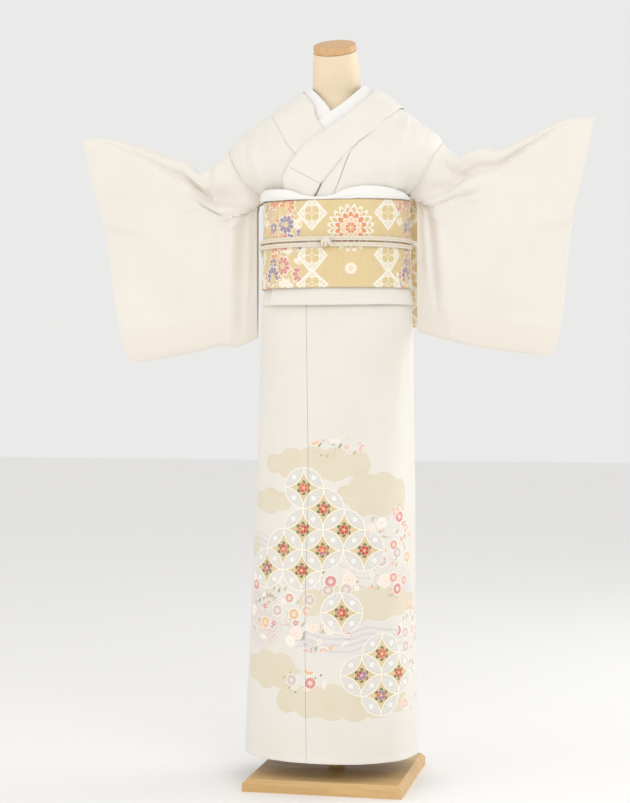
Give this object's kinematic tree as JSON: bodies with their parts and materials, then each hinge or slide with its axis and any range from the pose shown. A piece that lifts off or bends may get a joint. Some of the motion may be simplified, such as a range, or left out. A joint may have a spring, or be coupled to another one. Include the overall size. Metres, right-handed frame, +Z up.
{
  "type": "irotomesode kimono with its obi set on a limbless dress form",
  "caption": "Ivory semi-formal kimono with a patterned lower skirt and gold drum-bow obi, dressed on a limbless wooden-based dress form.",
  "frame": {"origin": "middle of the base board's underside", "axes": "+Z up along the post, the kimono's front faces -Y, the wearer's left is +X"},
  "size_m": [1.0222, 0.354, 1.4784],
  "materials": {
    "form_skin": "smooth stretched cream cover",
    "oak": "satin light oak, straight grain",
    "silk": "ivory silk crepe, pale pattern on the lower skirt",
    "white_silk": "white silk crepe",
    "brocade": "gold brocade with a woven pattern",
    "braid": "flat silk braid with gold thread"
  },
  "bodies": {
    "root": {"form_body": "form_skin", "neck_cap": "oak", "post": "oak", "base_board": "oak", "body_left": "silk", "body_right": "silk", "skirt_front_left": "silk", "skirt_front_right": "silk", "skirt_back_left": "silk", "skirt_back_right": "silk", "skirt_overlap_left": "silk", "skirt_overlap_right": "silk", "overlap_left_upper": "silk", "sleeve_left": "silk", "sleeve_right": "silk", "over_collar": "silk", "collar_end": "silk", "inner_collar": "white_silk", "obiage": "white_silk", "obi_band": "brocade", "obi_drum": "brocade", "obi_hand": "brocade", "obi_flap": "brocade", "obijime_loop": "braid", "obijime_knot": "braid", "obijime_tail_left": "braid", "obijime_tail_right": "braid"}
  },
  "joints": []
}
